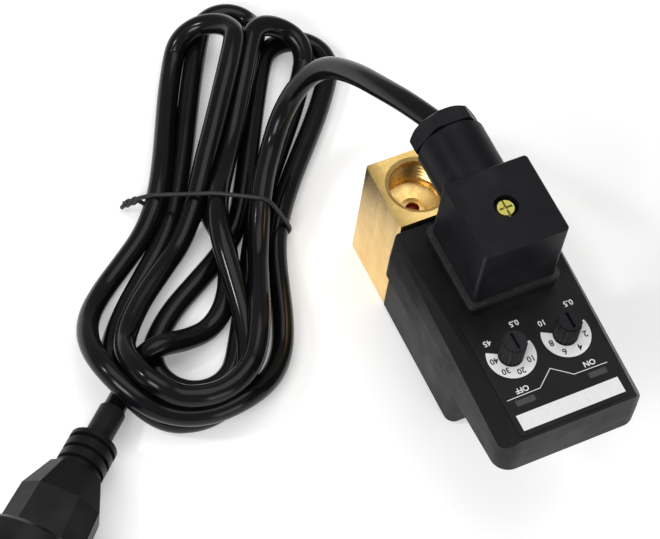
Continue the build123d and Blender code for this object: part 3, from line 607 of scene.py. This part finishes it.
def hull(points):
    """Convex outline of points in a plane, anticlockwise."""
    points = sorted(points)
    chains = []
    for run in (points, points[::-1]):
        chain = []
        for p in run:
            while len(chain) > 1 and ((chain[-1][0] - chain[-2][0]) * (p[1] - chain[-2][1])
                                      <= (chain[-1][1] - chain[-2][1]) * (p[0] - chain[-2][0])):
                chain.pop()
            chain.append(p)
        chains.append(chain[:-1])
    return chains[0] + chains[1]


def add_tie(line):
    """Wire tie pulled tight round the waist of the hank, its two ends twisted together."""
    c, s = math.cos(HANK_HEADING), math.sin(HANK_HEADING)
    rel = line[:, :2] - np.array([HANK_MIDDLE.x, HANK_MIDDLE.y])
    u, v = rel[:, 0] * c + rel[:, 1] * s, -rel[:, 0] * s + rel[:, 1] * c
    rim = []
    waist = (np.abs(v[:-1]) < WAIST_HALF_WIDTH) & (line[:-1, 2] < WAIST_TOP)
    for i in np.flatnonzero((u[:-1] * u[1:] <= 0) & waist):
        for step in range(RIM_STEPS):
            angle = 2 * math.pi * step / RIM_STEPS
            rim.append((float(v[i]) + TIE_REACH * math.cos(angle),
                        max(TIE_WIRE_R, float(line[i, 2]) + TIE_REACH * math.sin(angle))))
    outline = np.array(hull(rim))
    outline = np.roll(outline, -int(np.argmax(outline[:, 0])), axis=0)
    closed = np.vstack([outline, outline[:1]])
    along = np.concatenate([[0], np.cumsum(np.linalg.norm(np.diff(closed, axis=0), axis=1))])
    steps = np.linspace(0, along[-1], LOOP_STEPS)
    loop = np.stack([np.interp(steps, along, closed[:, k]) for k in (0, 1)], axis=1)
    side_v, side_z = loop[0]

    def end(phase):
        turned = []
        for step in range(TWIST_STEPS):
            t = step / (TWIST_STEPS - 1)
            angle = phase + 2 * math.pi * TIE_TWISTS * t
            middle_z = max(TIE_END_Z, side_z * (1 - t) + TIE_END_Z * t)
            turned.append(hank_point(TWIST_R * math.cos(angle) / MM,
                                     (side_v + TIE_GAP + TIE_TAIL * t) / MM,
                                     middle_z + TWIST_R * math.sin(angle)))
        return turned

    points = end(math.pi / 2)[::-1]
    points += [hank_point(0.0, a / MM, b) for a, b in loop[1:-1]]
    points += end(-math.pi / 2)
    tie = nurbs("wire_tie", points, TIE_WIRE_R, resolution=4, roundness=3)
    bpy.context.collection.objects.link(tie)
    tie.data.materials.append(MATERIALS["tie_plastic"])
    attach(tie, "valve")
    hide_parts("twist_tie")
    return tie


def add_cord():
    """The mains lead as one piece, with the tie round it."""
    points = cord_points()
    cord = nurbs("mains_lead", points, CORD_R, resolution=8, roundness=6)
    bpy.context.collection.objects.link(cord)
    cord.data.materials.append(MATERIALS["cord_jacket"])
    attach(cord, "valve")
    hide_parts("cord_lead", "cord_hank", "cord_tail")
    line = smooth_line([tuple(p) for p in points], 2 * SPAN_STEPS)
    nodes = frame["nodes"]
    pieces = [nodes["strain_relief"], nodes["plug_body"], nodes["plug_pins"], add_tie(line)]
    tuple(LEAD_ROUTE[0])


# ------------------------------------------------------------------ port threads
# Half-inch pipe thread, in millimetres.
THREAD_PITCH = 1.814
THREAD_ROOT_R = 9.34
THREAD_DEPTH = 0.62
THREAD_FOOT_HALF = 0.74     # half the width of the ridge where it meets the wall
THREAD_CREST_HALF = 0.14
THREAD_TURNS = 5.6
STEPS_PER_TURN = 72
RUN_OUT_STEPS = 30          # over which the ridge rises and dies away
UPPER_THREAD_Z, UPPER_THREAD_START = 36.4, 0.6
LOWER_THREAD_Z, LOWER_THREAD_START = 1.6, 2.1


def thread_ridge(name, low_z, start_angle):
    """Helical ridge of a half-inch pipe thread on the wall of a port."""
    bm = bmesh.new()
    rings = []
    total = int(STEPS_PER_TURN * THREAD_TURNS)
    for i in range(total + 1):
        angle = start_angle + 2 * math.pi * i / STEPS_PER_TURN
        z = low_z + THREAD_PITCH * i / STEPS_PER_TURN
        tall = THREAD_DEPTH * min(1.0, i / RUN_OUT_STEPS, (total - i) / RUN_OUT_STEPS)
        crest_r = THREAD_ROOT_R - tall
        section = [(THREAD_ROOT_R, -THREAD_FOOT_HALF), (crest_r, -THREAD_CREST_HALF),
                   (crest_r, THREAD_CREST_HALF), (THREAD_ROOT_R, THREAD_FOOT_HALF)]
        ring = []
        for radius, dz in section:
            ring.append(bm.verts.new((radius * math.cos(angle) * MM, radius * math.sin(angle) * MM,
                                      (z + dz) * MM)))
        rings.append(ring)
    for a, b in zip(rings, rings[1:]):
        for k in range(len(section)):
            n = (k + 1) % len(section)
            bm.faces.new((a[k], b[k], b[n], a[n]))
    bm.faces.new(rings[0])
    bm.faces.new(list(reversed(rings[-1])))
    bmesh.ops.recalc_face_normals(bm, faces=bm.faces)
    mesh_piece(name, bm, MATERIALS["brass"], "valve")


def return_spring():
    """The plunger's spring as its own piece, riding on the valve body."""
    node = frame["nodes"]["plunger_spring"]
    spring = bpy.data.objects.new("return_spring", node.data.copy())
    bpy.context.collection.objects.link(spring)
    spring.matrix_world = node.matrix_world.copy()
    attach(spring, "valve")
    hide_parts("plunger_spring")
    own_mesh(spring)


# Heights and radii of the seal face's rounded edge, in millimetres, from the bottom up.
SEAL_PROFILE = [(31.2, 2.32), (31.6, 2.32), (31.9, 1.9), (32.0, 1.2)]
SEAL_SIDES = 28


def seal_glimpse():
    """The red-brown seal face that shows at the bottom of the upper port's centre hole."""
    bm = bmesh.new()
    angles = [2 * math.pi * k / SEAL_SIDES for k in range(SEAL_SIDES)]
    rings = []
    for z, radius in SEAL_PROFILE:
        rings.append([bm.verts.new((radius * MM * math.cos(a), radius * MM * math.sin(a), z * MM))
                      for a in angles])
    for low, high in zip(rings, rings[1:]):
        for k in range(SEAL_SIDES):
            n = (k + 1) % SEAL_SIDES
            bm.faces.new((low[k], low[n], high[n], high[k]))
    bm.faces.new(rings[-1])
    bm.faces.new(list(reversed(rings[0])))
    mesh_piece("seal_face", bm, MATERIALS["red_seal"], "valve", smooth=True)


# ------------------------------------------------------------------ printed panel
# Sizes and places in plan, in millimetres. Angles run clockwise from the reader's up, in degrees.
INK_T = 0.02
GLASS_T = 0.015
TEXT_LIFT = 0.01
DIAL_X, DIAL_Y = 75.8, 9.3
SCALE_FIRST, SCALE_LAST = -108, 118
SCALE_STEPS = 56
SCALE_OUTER_R, SCALE_NARROWING = 8.0, 0.5
SCALE_INNER_R, SCALE_TIP = 3.9, 3.3
SCALE_TIP_SHARE = 0.17      # of the scale's length, over which the thin tip widens
BARE_STRIP = (94.4, 99.7, -17.2, 17.0)
DIVIDER = [(89.0, -17.3), (88.9, -6.2), (84.2, -0.4), (88.7, 5.4), (88.9, 16.5)]
DIVIDER_WIDTH = 0.22
WINDOWS = [(90.0, 91.9, -15.3, -9.0), (90.0, 91.9, 9.3, 15.2)]
# Each dial: its side, the numbers at the ends of its scale, and the size, radius and angle
# of the numbers on the scale.
DIALS = [
    (-1, "0.5", "45", 2.7, [("10", 6.1, -58), ("20", 5.8, -6), ("30", 5.6, 42), ("40", 5.5, 92)]),
    (1, "0.5", "10", 2.9, [("2", 6.1, -71), ("4", 5.8, -22), ("6", 5.8, 30), ("8", 5.4, 80)]),
]
END_NUMBER_SIZE = 2.6
LOW_NUMBER_X, LOW_NUMBER_SHIFT = 66.4, 5.9
HIGH_NUMBER_R, HIGH_NUMBER_ANGLE = 7.9, 143
SWITCH_WORDS = [("OFF", 87.2, -11.4), ("ON", 87.0, 11.4)]
SWITCH_WORD_SIZE = 2.5
WHITE_WEIGHT, BLACK_WEIGHT = 0.05, 0.06


def reader_text(bm, text, x, y, size, z, weight=WHITE_WEIGHT):
    """A word or number on the panel. The reader's up is +X and the reader's right is -Y."""
    font = bpy.data.curves.new("glyphs", "FONT")
    font.body = text
    font.size = size * MM
    font.align_x = "CENTER"
    font.align_y = "CENTER"
    font.extrude = 0.01 * MM
    font.offset = weight * MM
    font.resolution_u = 3
    holder = bpy.data.objects.new("glyphs", font)
    bpy.context.collection.objects.link(holder)
    bpy.context.view_layer.update()
    mesh = bpy.data.meshes.new_from_object(holder.evaluated_get(bpy.context.evaluated_depsgraph_get()))
    turn = Matrix(((0, 1, 0, x * MM), (-1, 0, 0, y * MM), (0, 0, 1, z), (0, 0, 0, 1)))
    mesh.transform(turn)
    bm.from_mesh(mesh)
    bpy.data.objects.remove(holder)
    bpy.data.curves.remove(font)
    bpy.data.meshes.remove(mesh)


def around(x, y, radius, degrees):
    """A place round a dial, clockwise from the reader's up."""
    angle = math.radians(degrees)
    return x + radius * math.cos(angle), y - radius * math.sin(angle)


def dial_band(bm, x, y, z):
    """White scale round a knob, that starts as a thin tip and widens."""
    steps = SCALE_STEPS
    outer, inner = [], []
    for i in range(steps + 1):
        t = i / steps
        angle = SCALE_FIRST + (SCALE_LAST - SCALE_FIRST) * t
        inner_r = SCALE_INNER_R + SCALE_TIP * max(0.0, 1 - t / SCALE_TIP_SHARE) ** 2
        outer.append(around(x, y, SCALE_OUTER_R - SCALE_NARROWING * t, angle))
        inner.append(around(x, y, inner_r, angle))
    lines = (outer, inner)
    low = [[bm.verts.new((px * MM, py * MM, z)) for px, py in line] for line in lines]
    high = [[bm.verts.new((px * MM, py * MM, z + INK_T * MM)) for px, py in line] for line in lines]
    for i in range(steps):
        bm.faces.new((high[0][i], high[0][i + 1], high[1][i + 1], high[1][i]))
        bm.faces.new((low[0][i], low[1][i], low[1][i + 1], low[0][i + 1]))
        bm.faces.new((low[0][i], low[0][i + 1], high[0][i + 1], high[0][i]))
        bm.faces.new((low[1][i], high[1][i], high[1][i + 1], low[1][i + 1]))
    for i in (0, steps):
        bm.faces.new((low[0][i], high[0][i], high[1][i], low[1][i]))
    bmesh.ops.recalc_face_normals(bm, faces=bm.faces)


def line_band(bm, points, width, z):
    """A printed line of one width through points in plan, with mitred corners."""
    left, right = [], []
    for i, point in enumerate(points):
        here = Vector(point)
        before = (here - Vector(points[i - 1])).normalized() if i else None
        after = (Vector(points[i + 1]) - here).normalized() if i + 1 < len(points) else None
        along = ((before or after) + (after or before)).normalized()
        side = Vector((-along.y, along.x))
        leaving = after or before
        mitre = abs(side.dot(Vector((-leaving.y, leaving.x))))
        reach = width / 2 / max(0.5, mitre)
        left.append(here + side * reach)
        right.append(here - side * reach)
    for i in range(len(points) - 1):
        corners = (right[i], right[i + 1], left[i + 1], left[i])
        flat_shape(bm, [tuple(p * MM) for p in corners], z, INK_T * MM)


def rectangle(x0, x1, y0, y1):
    return [(x0 * MM, y0 * MM), (x1 * MM, y0 * MM), (x1 * MM, y1 * MM), (x0 * MM, y1 * MM)]


def print_panel():
    """Scales, a bare strip and switch marks on the front panel."""
    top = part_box("panel_film")[1][2]
    text_z = top + TEXT_LIFT * MM
    white = bmesh.new()
    flat_shape(white, rectangle(*BARE_STRIP), top, INK_T * MM)
    for side, *_ in DIALS:
        dial_band(white, DIAL_X, side * DIAL_Y, top)
    line_band(white, DIVIDER, DIVIDER_WIDTH, top)
    for side, low, high, _, _ in DIALS:
        high_place = around(DIAL_X, side * DIAL_Y, HIGH_NUMBER_R, HIGH_NUMBER_ANGLE)
        reader_text(white, low, LOW_NUMBER_X, side * DIAL_Y + LOW_NUMBER_SHIFT, END_NUMBER_SIZE, text_z)
        reader_text(white, high, *high_place, END_NUMBER_SIZE, text_z)
    for word, x, y in SWITCH_WORDS:
        reader_text(white, word, x, y, SWITCH_WORD_SIZE, text_z)
    mesh_piece("panel_white_print", white, WHITE_INK, "valve")
    black = bmesh.new()
    scale_z = top + (INK_T + TEXT_LIFT) * MM
    for side, _, _, size, numbers in DIALS:
        for text, radius, angle in numbers:
            place = around(DIAL_X, side * DIAL_Y, radius, angle)
            reader_text(black, text, *place, size, scale_z, BLACK_WEIGHT)
    mesh_piece("panel_black_print", black, BLACK_INK, "valve")
    glass = bmesh.new()
    for window in WINDOWS:
        flat_shape(glass, rectangle(*window), top, GLASS_T * MM)
    mesh_piece("light_windows", glass, SMOKED, "valve")


set_camera()
set_lights()
set_world()
add_floor()
finish_cad_nodes()
add_cord()
return_spring()
seal_glimpse()
thread_ridge("upper_port_thread", UPPER_THREAD_Z, UPPER_THREAD_START)
thread_ridge("lower_port_thread", LOWER_THREAD_Z, LOWER_THREAD_START)
print_panel()

scene = bpy.context.scene
scene.view_settings.view_transform = "Standard"

boxes = [[list(corner) for corner in box] for box in (cad_box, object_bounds())]
